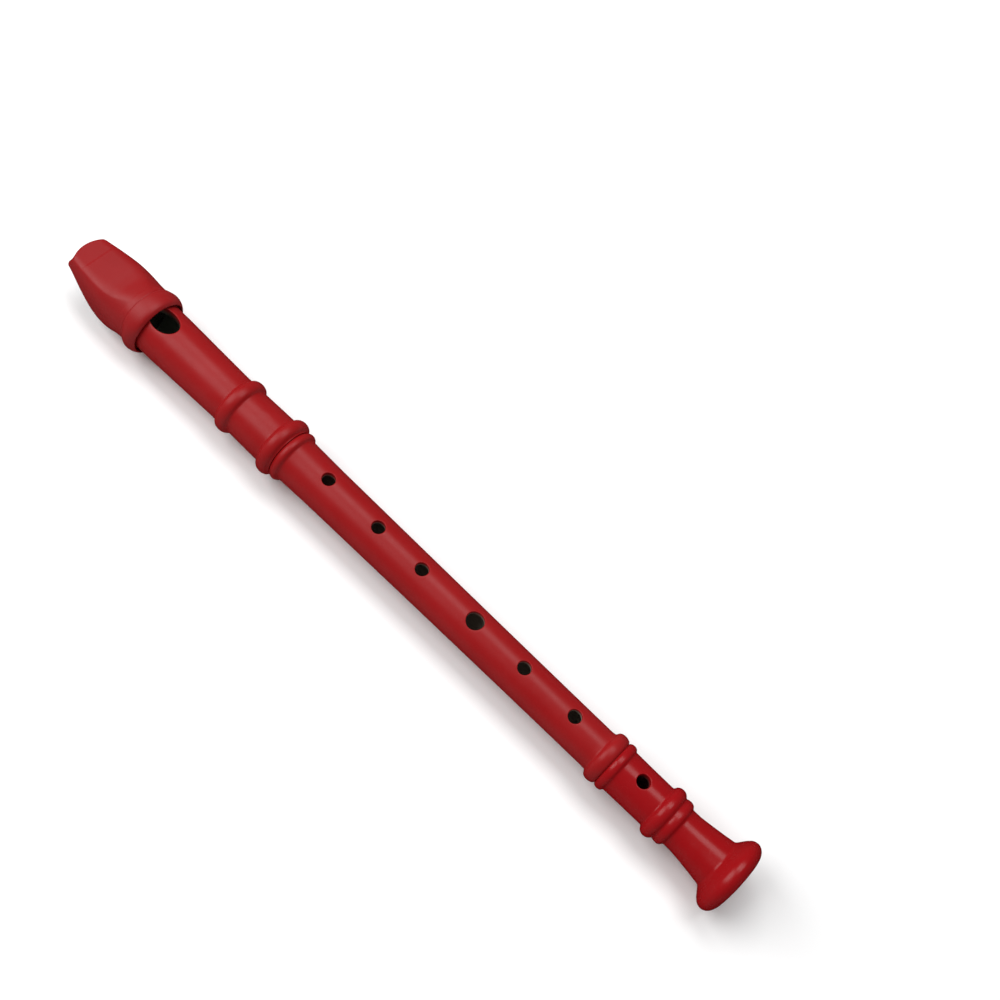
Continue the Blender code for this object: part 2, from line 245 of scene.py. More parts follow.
def turned(name, outside, inside, holes=(), outer_at=None, inner_at=None, marks=()):
    """A tube turned about X from its outside and inside outlines, both running towards +X.

    Marks are functions that move a vertex of the outer surface.
    """
    rows = outside + inside[::-1]
    work = bmesh.new()
    angles = [2 * math.pi * k / SEGMENTS for k in range(SEGMENTS)]
    grid = []
    for x, r in rows:
        grid.append([work.verts.new((x, r * math.sin(t), r * math.cos(t))) for t in angles])
    skipped = set()
    frames = []
    for hole in holes:
        half_angle = math.asin((hole["b"] + SIDE_MARGIN) / inner_at(hole["x"]))
        wide = math.ceil(half_angle / (2 * math.pi / SEGMENTS))
        middle = 0 if hole["side"] == 1 else SEGMENTS // 2
        columns = [(middle + k) % SEGMENTS for k in range(-wide, wide + 1)]
        loops = []
        for part, offset in ((outside, 0), (inside[::-1], len(outside))):
            found = [i + offset for i, (x, r) in enumerate(part)
                     if abs(x - hole["middle"]) < hole["reach"] + SAME_X]
            found.sort(key=lambda i: rows[i][0])
            assert len(found) == HOLE_CELLS + 1, (name, hole["x"], len(found))
            ring = [grid[i][columns[0]] for i in found]
            ring += [grid[found[-1]][c] for c in columns[1:]]
            ring += [grid[i][columns[-1]] for i in reversed(found[:-1])]
            ring += [grid[found[0]][c] for c in reversed(columns[1:-1])]
            loops.append(ring)
            first = min(found)
            for i in range(first, first + HOLE_CELLS):
                skipped.update((i, c) for c in columns[:-1])
        frames.append((hole, loops))
    count = len(rows)
    for i in range(count):
        n = (i + 1) % count
        for k in range(SEGMENTS):
            if (i, k) not in skipped:
                m = (k + 1) % SEGMENTS
                work.faces.new((grid[i][k], grid[i][m], grid[n][m], grid[n][k]))
    for hole, (outer, inner) in frames:
        let_in_hole(work, hole, outer, inner, outer_at, inner_at)
    for v in work.verts:
        for mark in marks:
            v.co += mark(v.co)
    loose = [v for v in work.verts if not v.link_faces]
    bmesh.ops.delete(work, geom=loose, context="VERTS")
    bmesh.ops.recalc_face_normals(work, faces=work.faces)
    mesh = bpy.data.meshes.new(name)
    work.to_mesh(mesh)
    work.free()
    mesh.shade_smooth()
    mesh.set_sharp_from_angle(angle=SHARP_EDGE)
    return mesh


def arc(centre, across, along, start, end, steps):
    """Points of an ellipse about a centre (X, radius), between two angles.

    The angles are in degrees: 0 points outwards and 90 towards +X.
    """
    turns = [math.radians(start + (end - start) * k / steps) for k in range(steps + 1)]
    return [(centre[0] + along * math.sin(t), centre[1] + across * math.cos(t)) for t in turns]


def falling_seam(x, r):
    """The rounded outer edge of a joint that ends at X with that radius."""
    return arc((x - SEAM, r - SEAM), SEAM, SEAM, *SEAM_FALL, SEAM_STEPS)


def rising_seam(x, r):
    """The rounded outer edge of a joint that starts at X with that radius."""
    return arc((x + SEAM, r - SEAM), SEAM, SEAM, *SEAM_RISE, SEAM_STEPS)


# ---- closed surfaces of a distance field ----

def surface_net(name, field, low, high, cell):
    """The closed surface where a distance field is zero, inside a box.

    It has one vertex in each cell that the surface crosses, which is then moved onto the surface.
    """
    axes = [np.arange(low[k], high[k] + cell, cell) for k in range(3)]
    values = field(*np.meshgrid(*axes, indexing="ij"))
    shape = np.array(values.shape) - 1
    corners = [(i, j, k) for i in (0, 1) for j in (0, 1) for k in (0, 1)]

    def corner(grid, c):
        return grid[c[0]:c[0] + shape[0], c[1]:c[1] + shape[1], c[2]:c[2] + shape[2]]

    total = np.zeros((*shape, 3))
    hits = np.zeros(shape)
    for one in corners:
        for axis in range(3):
            if one[axis]:
                continue
            two = tuple(v + (k == axis) for k, v in enumerate(one))
            a, b = corner(values, one), corner(values, two)
            crossed = (a < 0) != (b < 0)
            share = np.where(crossed, a / np.where(crossed, a - b, 1), 0)
            for k in range(3):
                total[..., k] += np.where(crossed, one[k] + (share if k == axis else 0), 0)
            hits += crossed
    live = hits > 0
    index = np.full(shape, -1)
    index[live] = np.arange(live.sum())
    cells = np.argwhere(live)
    points = np.array(low) + (cells + total[live] / hits[live][:, None]) * cell

    faces = []
    inside = values < 0
    step = np.eye(3, dtype=int)
    for axis in range(3):
        u, v = [k for k in range(3) if k != axis]
        span = [slice(1, n) for n in shape]
        span[axis] = slice(0, shape[axis])
        near = inside[tuple(span)]
        far_span = list(span)
        far_span[axis] = slice(1, shape[axis] + 1)
        far = inside[tuple(far_span)]
        found = np.argwhere(near != far)
        found[:, u] += 1
        found[:, v] += 1
        starts = near[near != far]
        around = [found, found - step[u], found - step[u] - step[v], found - step[v]]
        quad = np.stack([index[tuple(p.T)] for p in around], axis=1)
        flip = starts == (axis == 1)
        quad[flip] = quad[flip][:, ::-1]
        faces.append(quad)
    faces = np.concatenate(faces)

    h = PROBE * cell
    for _ in range(SETTLING_ROUNDS):
        x, y, z = points.T
        value = field(x, y, z)
        slope = np.stack([
            field(x + h, y, z) - field(x - h, y, z),
            field(x, y + h, z) - field(x, y - h, z),
            field(x, y, z + h) - field(x, y, z - h),
        ], axis=1) / (2 * h)
        size = np.maximum((slope ** 2).sum(1), LEAST_SLOPE)
        move = -(value / size)[:, None] * slope
        length = np.linalg.norm(move, axis=1, keepdims=True)
        points += move * np.minimum(1, LONGEST_MOVE * cell / np.maximum(length, NOT_ZERO))

    mesh = bpy.data.meshes.new(name)
    mesh.from_pydata(points.tolist(), [], faces.tolist())
    work = bmesh.new()
    work.from_mesh(mesh)
    bmesh.ops.recalc_face_normals(work, faces=work.faces)
    work.to_mesh(mesh)
    work.free()
    mesh.shade_smooth()
    return mesh


def both(a, b, rounding):
    """Inside both fields, with that radius on the edge where they meet."""
    return (np.minimum(np.maximum(a, b) + rounding, 0)
            + np.hypot(np.maximum(a + rounding, 0), np.maximum(b + rounding, 0)) - rounding)


def either(a, b, rounding):
    """Inside one field or both, with that radius in the corner where they meet."""
    return -both(-a, -b, rounding)


def ease(x, start, end):
    """Rises smoothly from 0 at the start to 1 at the end."""
    share = np.clip((x - start) / (end - start), 0, 1)
    return share * share * (3 - 2 * share)


# ---- the mouthpiece ----
BEAK_RADIUS = 12.1 * MM
NECK = 11.8 * MM             # radius just ahead of the collar
FRONT_HEIGHT = 12.95 * MM    # of the front there, level with the collar
# (X, Z) along the cut at the back of the beak.
SCOOP = in_metres([
    (-3.0, 4.6),
    (0.0, 3.9),
    (5.4, 2.5),
    (10.3, -0.4),
    (15.2, -3.7),
    (20.0, -7.0),
    (23.8, -9.6),
    (26.8, -11.1),
    (30.0, -12.0),
    (34.0, -12.6),
    (60.0, -14.0),
])
# (X, Z) along the flat on the front, which ends in a short rise.
FACET = in_metres([
    (-3.0, 9.0),
    (3.5, 9.45),
    (12.0, 10.0),
    (20.0, 10.45),
    (24.0, 10.68),
    (26.5, 11.0),
    (28.5, 11.55),
    (31.0, 12.4),
    (45.0, 18.0),
])
LIP_LINE = 9.6 * MM          # X of the fine step across the flat
BAND_LINE = 34.7 * MM        # X of the fine parting line in front of the collar
COLLAR_END = 42.2 * MM
RECESS = (39.6 * MM, 11.35 * MM)         # start X and radius of the hollow behind the collar
# (X, radius) along the side and the back of the collar.
COLLAR_OUTLINE = in_metres([
    (32.0, 11.0),
    (34.6, 11.6),
    (35.2, 12.2),
    (36.0, 12.65),
    (36.8, 13.0),
    (37.6, 13.18),
    (38.6, 13.1),
    (39.6, 12.86),
    (40.5, 12.47),
    (41.2, 12.0),
    (41.8, 11.4),
    (42.3, 10.7),
    (44.0, 9.0),
])
# The same on the front of the collar, which stays level up to its end.
COLLAR_FRONT = in_metres([
    (32.0, 12.6),
    (34.6, 12.95),
    (36.0, 13.1),
    (38.0, 13.18),
    (39.8, 13.12),
    (40.7, 12.95),
    (41.4, 12.6),
    (42.0, 11.9),
    (44.0, 9.5),
])
COLLAR_START = 32 * MM
COLLAR_TURN = (0.2, 0.85)    # Z / radius over which the side outline turns into the front one
TIP_LEVEL = 3.9 * MM         # Z of the back edge of the beak's end
TIP_SLANT = 0.62             # of the end face: how far it leans back for each unit of height
TIP_HALF_WIDTH = 8.0 * MM
FULL_WIDTH = 27 * MM         # X where the beak reaches its full width
TIP_BOW = 2.9 * MM           # how far the end's corners stand back from its middle
TIP_AHEAD = 1.56 * MM        # of its middle, at the level of the back edge
BEAK_END = COLLAR + 1 * MM               # inside the collar
NECKING = (25 * MM, 34.5 * MM)           # X over which the beak narrows to its neck
FRONT_CORNERS = (2.6, 0.6, 18 * MM, 32 * MM)         # see superellipse_power
BACK_CORNERS = (3.1, 1.1, 22 * MM, 33 * MM)
POCKET_END = 25.2 * MM
POCKET = [(0.0, 6.6 * MM), (POCKET_END, 7.9 * MM)]   # (X, half width) of the opening
ROOF = [(0.0, 7.8 * MM), (POCKET_END, 9.6 * MM)]     # (X, Z) of its inner end
POCKET_CORNER = (1.3 * MM, 1.6 * MM)     # slant between side and roof: at the tip, and its growth
POCKET_ROUND = 2.4 * MM                  # at the inner end of the opening
BLOCK_ROUND = 2.2 * MM                   # the same on the block
WINDWAY = (4.3 * MM, 1.1 * MM)           # half width, height
WEB = (28 * MM, 4 * MM)                  # middle and half length of the way from pocket to socket
LIP_STEP = (0.14 * MM, 0.2 * MM)         # height and half length of the step at the lip line

# Radius of the rounding where two surfaces of the cap meet.
FACET_EDGE = 1.1 * MM
CUT_EDGE = 0.45 * MM
COLLAR_EDGE = 0.3 * MM
COLLAR_FILLET = 0.25 * MM
POCKET_EDGE = 0.35 * MM      # of the opening at the back, and of the recess
INNER_EDGE = 0.3 * MM        # inside these, and at the mouth of the socket
BEAK_END_EDGE = 0.2 * MM
HIDDEN_EDGE = 0.1 * MM

# These scale a difference of height or radius to about the distance from a sloping surface.
FACET_SCALE = 0.98
SCOOP_SCALE = 0.83
COLLAR_SCALE = 0.85
CORNER_SCALE = 0.72

PARTING = (0.16 * MM, 0.12 * MM)         # half width and depth of the parting line
PARTING_REACH = 3                        # of its half width: beyond it nothing moves
PARTING_LEAST = 0.25                     # share of its depth on the underside
PARTING_TURN = (-0.2, 0.7)               # Z / radius over which it deepens towards the front
PARTING_BAND = 0.7 * MM                  # the mesh is finer this far from it
BAND_RADIUS = 11 * MM                    # less than the radius of the skin at the parting line
CAP_BOX = in_metres([(-1, -14, -14), (43.5, 14, 14)])

BLOCK_BOW = 1.2 * MM
BLOCK_AHEAD = 0.1 * MM
BLOCK_EDGE = 0.25 * MM
BLOCK_END_EDGE = 0.2 * MM                # of its end face, and of its plug
NOTCH_EDGE = 0.15 * MM
RIB = (0.45 * MM, 0.45 * MM)             # half width and height of the ridge down the middle
BLOCK_RIM = (1.1 * MM, 0.25 * MM)        # width and height of the ridges at its sides
WELLS = (20.3 * MM, 3.2 * MM, 3.6 * MM, 2.5 * MM, 2.6 * MM)      # middle and half length in X,
#                                          middle and half width in Y on each side, and depth
NOTCH = (0.6 * MM, 0.7 * MM, 1.1 * MM)   # middle and half width in Y, length
TONGUE = (0.3 * MM, 4.25 * MM)           # side gap in the windway, half height
BLOCK_BOX = in_metres([(-2, -9, -10.5), (39, 9, 11)])
PLUG_START = POCKET_END - 2 * MM
PLUG_END = WINDOW[0] - WINDOW[1] - 0.4 * MM


def line(points, x):
    """The straight line through two points."""
    (x0, v0), (x1, v1) = points
    return v0 + (v1 - v0) * (x - x0) / (x1 - x0)


def smooth_line(points):
    """A smooth curve through (X, Z) or (X, radius) points, as a function for numpy."""
    xs = np.array([p[0] for p in points])
    zs = np.array([p[1] for p in points])
    slopes = np.gradient(zs, xs)
    dense = np.linspace(xs[0], xs[-1], CURVE_POINTS)
    i = np.clip(np.searchsorted(xs, dense) - 1, 0, len(xs) - 2)
    h = xs[i + 1] - xs[i]
    t = (dense - xs[i]) / h
    value = ((2 * t**3 - 3 * t**2 + 1) * zs[i] + (t**3 - 2 * t**2 + t) * h * slopes[i]
             + (3 * t**2 - 2 * t**3) * zs[i + 1] + (t**3 - t**2) * h * slopes[i + 1])
    return lambda x: np.interp(x, dense, value)


scoop_height = smooth_line(SCOOP)
facet_height = smooth_line(FACET)
collar_side = smooth_line(COLLAR_OUTLINE)
collar_front = smooth_line(COLLAR_FRONT)


def tip_field(x, y, z, ahead, bow):
    """Negative behind the leaning end face."""
    lean = TIP_SLANT * (z - TIP_LEVEL)
    plan = bow * (y / TIP_HALF_WIDTH) ** 2 - ahead
    return (plan + lean - x) / math.hypot(1, TIP_SLANT)


def pocket_field(x, y, z, inset, deep_round):
    """The space inside the beak, open at its back: negative inside."""
    side = np.abs(y) - (line(POCKET, x) - inset)
    roof = z - (line(ROOF, x) - inset)
    end = x - (POCKET_END - inset)
    cut, grown = POCKET_CORNER
    corner = CORNER_SCALE * (side + roof + cut + grown * ease(x, 0, POCKET_END))
    return both(both(both(side, end, deep_round), roof, INNER_EDGE), corner, INNER_EDGE)


def superellipse_power(x, corners):
    """The power of the beak's section: the one at its tip, and how much it drops between two X."""
    tip, fall, start, end = corners
    return tip - fall * ease(x, start, end)


def beak_field(x, y, z):
    """The beak before it is cut: a squarish section at the tip that turns round at the neck."""
    share = np.clip(x / FULL_WIDTH, 0, 1)
    grown = ease(x, *NECKING)
    width = TIP_HALF_WIDTH + (BEAK_RADIUS - TIP_HALF_WIDTH) * np.sin(share * math.pi / 2)
    width = np.where(x < 0, TIP_HALF_WIDTH, width) - (BEAK_RADIUS - NECK) * grown
    power = np.where(z > 0, superellipse_power(x, FRONT_CORNERS),
                     superellipse_power(x, BACK_CORNERS))
    height = BEAK_RADIUS + np.where(z > 0, FRONT_HEIGHT - BEAK_RADIUS, NECK - BEAK_RADIUS) * grown
    size = (np.abs(y / width) ** power + np.abs(z / height) ** power) ** (1 / power)
    return (size - 1) * width


def outer_cap_field(x, y, z, r):
    """The cap without its hollows: the cut beak and the collar."""
    step_height, step_half = LIP_STEP
    step = step_height * (1 - ease(x, LIP_LINE - step_half, LIP_LINE + step_half))
    flat = (z - facet_height(x) + step) * FACET_SCALE
    beak = both(beak_field(x, y, z), flat, FACET_EDGE)
    beak = both(beak, (scoop_height(x) - z) * SCOOP_SCALE, CUT_EDGE)
    beak = both(beak, tip_field(x, y, z, TIP_AHEAD, TIP_BOW), CUT_EDGE)
    beak = both(beak, x - BEAK_END, BEAK_END_EDGE)
    front = ease(z / np.maximum(r, MM), *COLLAR_TURN)
    collar_radius = collar_side(x) + (collar_front(x) - collar_side(x)) * front
    ends = np.maximum(COLLAR_START - x, x - COLLAR_END)
    collar = both(ends, (r - collar_radius) * COLLAR_SCALE, COLLAR_EDGE)
    return either(beak, collar, COLLAR_FILLET)


def cap_field(x, y, z):
    """The mouthpiece: negative inside."""
    r = np.hypot(y, z)
    solid = outer_cap_field(x, y, z, r)
    solid = both(solid, -pocket_field(x, y, z, 0, POCKET_ROUND), POCKET_EDGE)
    socket = both(SPIGOT_START - REST_GAP - x, r - SPIGOT_RADIUS - REST_GAP, HIDDEN_EDGE)
    solid = both(solid, -socket, INNER_EDGE)
    recess = both(RECESS[0] - x, r - RECESS[1], INNER_EDGE)
    solid = both(solid, -recess, POCKET_EDGE)
    along_web = np.abs(x - WEB[0]) - WEB[1]
    web = both(along_web, r - HEAD_BORE, HIDDEN_EDGE)
    slot = both(both(along_web, np.abs(y) - WINDWAY[0], HIDDEN_EDGE),
                np.abs(z - ROOF[1][1] / 2) - ROOF[1][1] / 2, HIDDEN_EDGE)
    return both(solid, -np.minimum(web, slot), HIDDEN_EDGE)


def parting_line(point):
    """A fine groove round the front of the band, deepest on the upper side."""
    half_width, full_depth = PARTING
    away = abs(point.x - BAND_LINE) / half_width
    r = math.hypot(point.y, point.z)
    if away > PARTING_REACH or r < BAND_RADIUS:
        return Vector()
    turn = math.atan2(point.y, point.z)
    share = PARTING_LEAST + (1 - PARTING_LEAST) * float(ease(math.cos(turn), *PARTING_TURN))
    return Vector((0, -point.y / r, -point.z / r)) * (full_depth * math.exp(-away * away) * share)


def build_cap(material):
    """The beak with its collar, with a finer mesh where the parting line runs."""
    mesh = surface_net("mouthpiece_cap", cap_field, *CAP_BOX, CAP_CELL)
    work = bmesh.new()
    work.from_mesh(mesh)
    near = [e for e in work.edges
            if min(abs(v.co.x - BAND_LINE) for v in e.verts) < PARTING_BAND
            and max(math.hypot(v.co.y, v.co.z) for v in e.verts) > BAND_RADIUS]
    bmesh.ops.subdivide_edges(work, edges=near, cuts=2, use_grid_fill=True)
    for v in work.verts:
        v.co += parting_line(v.co)
    work.to_mesh(mesh)
    work.free()
    return add_piece("beak_shell", mesh, material, "head", "mouthpiece_cap")


# (X, Z) along the block's floor, which the opening shows.
BLOCK_FLOOR = in_metres([
    (-4.0, 5.6),
    (0.0, 4.5),
    (5.2, 3.1),
    (10.4, 0.5),
    (15.4, -2.5),
    (20.4, -5.6),
    (26.0, -9.0),
    (60.0, -9.0),
])
block_floor = smooth_line(BLOCK_FLOOR)


def block_field(x, y, z):
    """The block: it fills the pocket down to its sloping floor, and plugs the top of the bore."""
    floor = block_floor(x) - z
    rib = np.maximum(np.abs(y) - RIB[0], floor - RIB[1])
    rim = np.maximum(line(POCKET, x) - BLOCK_RIM[0] - np.abs(y), floor - BLOCK_RIM[1])
    floor = np.minimum(floor, np.minimum(rib, rim))
    solid = both(pocket_field(x, y, z, REST_GAP, BLOCK_ROUND), floor, BLOCK_EDGE)
    well_x, well_length, well_y, well_width, well_depth = WELLS
    wells = np.maximum(np.abs(x - well_x) - well_length, np.abs(np.abs(y) - well_y) - well_width)
    wells = np.maximum(wells, z - (block_floor(x) + well_depth))
    solid = both(solid, -wells, BLOCK_EDGE)
    notch_y, notch_width, notch_length = NOTCH
    notch = np.maximum(np.abs(y - notch_y) - notch_width,
                       x - (notch_length + TIP_SLANT * (z - TIP_LEVEL)))
    solid = both(solid, tip_field(x, y, z, BLOCK_AHEAD, BLOCK_BOW), BLOCK_END_EDGE)
    solid = both(solid, -notch, NOTCH_EDGE)
    ends = np.maximum(PLUG_START - x, x - PLUG_END)
    plug = both(ends, np.hypot(y, z) - HEAD_BORE + REST_GAP, BLOCK_END_EDGE)
    side_gap, half_height = TONGUE
    tongue = np.maximum(ends, np.abs(y) - WINDWAY[0] + side_gap)
    tongue = np.maximum(tongue, np.abs(z - half_height) - half_height)
    solid = np.minimum(solid, np.minimum(plug, tongue))
    windway = np.maximum(np.abs(y) - WINDWAY[0], line(ROOF, x) - WINDWAY[1] - z)
    return both(solid, -windway, HIDDEN_EDGE)


def build_block(material):
    mesh = surface_net("fipple_block", block_field, *BLOCK_BOX, BLOCK_CELL)
    return add_piece("windway_block", mesh, material, "head", "fipple_block")


# ---- the turned pieces ----

INSIDE = 7.4 * MM            # a radius between the bore and the skin of the head
DENT_EDGE = (0.75, 1.15)     # of a dent's size: where it starts to level out, and where it ends


def dimple(x, turn, half_length, half_width, depth):
    """A shallow oval dent in a tube's outer surface, as a function that moves a vertex."""
    def move(point):
        r = math.hypot(point.y, point.z)
        if abs(point.x - x) > 2 * half_length or r < INSIDE:
            return Vector()
        away = math.remainder(math.atan2(point.y, point.z) - turn, 2 * math.pi) * r
        size = math.hypot((point.x - x) / half_length, away / half_width)
        fall = 1 - float(ease(size, *DENT_EDGE))
        return Vector((0, -point.y / r, -point.z / r)) * depth * fall
    return move


# Rings are (crest X, crest radius, half width), and tubes are (X, radius) points.
HEAD_RINGS = in_metres([(85.5, 11.4, 2.8), (107.45, 12.0, 2.75)])
BODY_RINGS = in_metres([(112.75, 10.6, 1.65), (266.6, 9.95, 2.6)])
FOOT_RINGS = in_metres([(271.15, 9.65, 1.75), (293.0, 10.3, 2.6), (297.4, 9.15, 2.15)])
HEAD_TUBE = in_metres([
    (30, 10.35), (48, 10.35), (56, 10.15), (65, 9.92), (79, 9.62), (90, 9.66), (98, 9.78),
    (103, 9.85), (106, 9.95), (109, 10.1), (113, 10.15),
])
BODY_TUBE = in_metres([
    (109, 9.7), (111.5, 9.6), (114.5, 9.25), (117, 9.1), (130, 8.8), (150, 8.62), (180, 8.35),
    (210, 8.12), (240, 7.94), (262, 7.86), (266, 8.2), (269, 8.8), (271, 8.8),
])
FOOT_TUBE = in_metres([
    (267, 8.8), (270, 8.8), (273, 8.45), (280, 8.35), (288, 8.3), (293, 8.3), (296, 8.1),
    (300, 7.62), (303, 7.64), (306, 7.93), (309, 8.3), (312, 8.67), (315, 9.12), (317.0, 9.45),
    (317.6, 10.05), (318.3, 11.05), (319.5, 12.65), (320.7, 13.85), (321.6, 14.32),
    (322.6, 14.5), (324.0, 14.5),        # the radius of the rim
])
FLANGE = in_metres([(319.5, 0, 2.5)])    # rows are as close here as on a ring
MOUTH = in_metres([
    (303.0, 5.45), (308.0, 5.7), (312.0, 6.15), (316.3, 6.7), (319.5, 7.3), (322.5, 7.85),
    (325.2, 8.25), (325.9, 8.5),
])
BORE_END = 302 * MM          # where the flare inside the bell begins
RIM_CREST = 322.6 * MM
RIM_STEPS = 24               # round the rim, from its crest to the flat end
FACE = (8.9 * MM, 10.2 * MM)             # flat end of the bell: inner and outer radius
DENT = (98.0 * MM, 2.0 * MM, 1.5 * MM, 0.05 * MM)    # X, half length, half width and depth


def build_head(material):
    """The head's tube: the spigot inside the cap, the window, two rings and the socket."""
    socket_start = HEAD_END - UPPER_TENON[0] - SOCKET_SPARE
    socket_radius = UPPER_TENON[1] + TENON_GAP
    radius_at = profile(HEAD_TUBE, HEAD_RINGS)
    window = hole_at(*WINDOW, lip=WINDOW_LIP)
    window["reach"] = WINDOW[1] + WINDOW_MARGIN

    def outer(x):
        return radius_at(x) if x > SPIGOT_END else SPIGOT_RADIUS

    rows = stations(SPIGOT_START + CHAMFER, HEAD_END - SEAM, [window], HEAD_RINGS)
    outside = [(SPIGOT_START, SPIGOT_RADIUS - CHAMFER)]
    outside += [(x, outer(x)) for x in rows]
    outside += falling_seam(HEAD_END, outside[-1][1])
    outside += [(HEAD_END, socket_radius)]
    bore_rows = stations(SPIGOT_START, socket_start - SOCKET_SLOPE, [window])
    inside = [(x, HEAD_BORE) for x in bore_rows]
    inside += [(socket_start, HEAD_BORE)]
    inside += [(x, socket_radius) for x in stations(socket_start, HEAD_END - CHAMFER)]
    dent_x, *dent_size = DENT
    marks = [dimple(dent_x, math.pi / 2 * k, *dent_size) for k in range(4)]
    mesh = turned("head_tube", outside, inside, [window], outer, lambda x: HEAD_BORE, marks)
    return add_piece("head_joint_tube", mesh, material, "head", "head_tube")


def build_body(material):
    """The body's tube: a tenon, two rings, six finger holes and the thumb hole, and a tenon."""
    start, end = HEAD_END + SEAM_GAP, BODY_END - SEAM_GAP
    tenon_start = HEAD_END - UPPER_TENON[0]
    tenon_end = BODY_END + LOWER_TENON[0]
    radius_at = profile(BODY_TUBE, BODY_RINGS)

    def bore_at(x):
        return BODY_BORE + (HEAD_BORE - BODY_BORE) * (tenon_end - x) / (tenon_end - tenon_start)

    holes = [hole_at(x, r, r) for x, r in FINGER_HOLES]
    thumb = hole_at(THUMB_HOLE[0], THUMB_HOLE[1], THUMB_HOLE[1], side=-1)
    for hole in (holes[0], thumb):                   # these two share their rows
        hole["middle"] = (FINGER_HOLES[0][0] + THUMB_HOLE[0]) / 2
        hole["reach"] = THUMB_ROWS
    rows = stations(start + 2 * SEAM, end - SEAM, holes, BODY_RINGS)
    outside = [(tenon_start, UPPER_TENON[1] - CHAMFER)]
    outside += [(x, UPPER_TENON[1]) for x in stations(tenon_start + TENON_CHAMFER, start)]
    outside += rising_seam(start, radius_at(start))
    outside += [(x, radius_at(x)) for x in rows]
    outside += falling_seam(end, radius_at(end))
    outside += [(x, LOWER_TENON[1]) for x in stations(end, tenon_end - TENON_CHAMFER)]
    outside += [(tenon_end, LOWER_TENON[1] - CHAMFER)]
    inside = [(x, bore_at(x)) for x in stations(tenon_start, tenon_end, holes)]
    mesh = turned("body_tube", outside, inside, holes + [thumb], radius_at, bore_at)
    return add_piece("main_tube", mesh, material, "body", "body_tube")


def build_foot(material):
    """The foot: the socket, the seventh hole, three rings and the flared bell."""
    socket_end = BODY_END + LOWER_TENON[0] + SOCKET_SPARE
    socket_radius = LOWER_TENON[1] + TENON_GAP
    radius_at = profile(FOOT_TUBE, FOOT_RINGS)
    hole = hole_at(*FOOT_HOLE, FOOT_HOLE[1])
    hole["reach"] = FOOT_HOLE[1] + FOOT_HOLE_MARGIN
    rows = stations(BODY_END + 2 * SEAM, RIM_CREST - RING_STEP, [hole], FOOT_RINGS + FLANGE)
    outside = [(BODY_END, socket_radius)]
    outside += rising_seam(BODY_END, radius_at(BODY_END))
    outside += [(x, radius_at(x)) for x in rows]
    outside += arc((RIM_CREST, FACE[1]), RIM_RADIUS - FACE[1], LENGTH - RIM_CREST, 0, 90,
                   RIM_STEPS)
    outside += [(LENGTH, (FACE[0] + FACE[1]) / 2), (LENGTH, FACE[0])]
    inside = [(x, socket_radius) for x in stations(BODY_END + CHAMFER, socket_end)]
    bore_rows = stations(socket_end + SOCKET_SLOPE, BORE_END, [hole])
    inside += [(x, FOOT_BORE) for x in bore_rows]
    inside += MOUTH
    mesh = turned("foot_joint", outside, inside, [hole], radius_at, lambda x: FOOT_BORE)
    return add_piece("bell_foot", mesh, material, "foot", "foot_joint")


# ---- materials ----

def node(tree, kind, **sockets):
    """A new node, with values set on its input sockets."""
    made = tree.nodes.new(kind)
    for name, value in sockets.items():
        made.inputs[name.replace("_", " ")].default_value = value
    return made


def ramp(tree, source, positions, colours):
    """Runs from the first colour to the second between two values."""
    made = tree.nodes.new("ShaderNodeValToRGB")
    for element, position, colour in zip(made.color_ramp.elements, positions, colours):
        element.position = position
        element.color = (*colour, 1)
    tree.links.new(source, made.inputs["Fac"])
    return made.outputs["Color"]


def noise(tree, place, scale, detail, roughness):
    """A noise in the object's own space, in features per metre."""
    made = node(tree, "ShaderNodeTexNoise", Scale=scale, Detail=detail, Roughness=roughness)
    tree.links.new(place.outputs["Object"], made.inputs["Vector"])
    return made.outputs["Fac"]


def spread(tree, source, start, end, low=0.3, high=0.7):
    """Stretches a range, by default that of a noise, to run from start to end."""
    made = node(tree, "ShaderNodeMapRange", From_Min=low, From_Max=high, To_Min=start, To_Max=end)
    tree.links.new(source, made.inputs["Value"])
    return made.outputs["Result"]


# Noises are (features per metre, detail, roughness).
CLOUDS = (45, 5, 0.6)                    # in the colour
CLOUD_RANGE = (0.30, 0.72)               # of the noise, from the first colour to the second
RUBBED = (260, 6, 0.7)                   # in the gloss
RUBBED_SPREAD = 0.05                     # of the roughness, each way
GRAIN = (2600, 3, 0.55)                  # in the surface
GRAIN_HEIGHT = 0.00005                   # m
PLASTIC_IOR = 1.5


def paint_bore_light_and_shade(tree, place, painted_bore_light_and_shade, shade, skin):
    """Paints light and shade into the inside of a tube: mixes the painted colour into the skin's,
    by the distance from the axis.
    """
    link = tree.links.new
    apart = tree.nodes.new("ShaderNodeSeparateXYZ")
    link(place.outputs["Object"], apart.inputs["Vector"])
    across = tree.nodes.new("ShaderNodeCombineXYZ")
    link(apart.outputs["Y"], across.inputs["Y"])
    link(apart.outputs["Z"], across.inputs["Z"])
    size = tree.nodes.new("ShaderNodeVectorMath")
    size.operation = "LENGTH"
    link(across.outputs["Vector"], size.inputs[0])
    depth = spread(tree, size.outputs["Value"], 0, 1, *shade)
    mix = tree.nodes.new("ShaderNodeMix")
    mix.data_type = "RGBA"
    mix.inputs["A"].default_value = (*painted_bore_light_and_shade, 1)
    link(depth, mix.inputs["Factor"])
    link(skin, mix.inputs["B"])
    return mix.outputs["Result"]


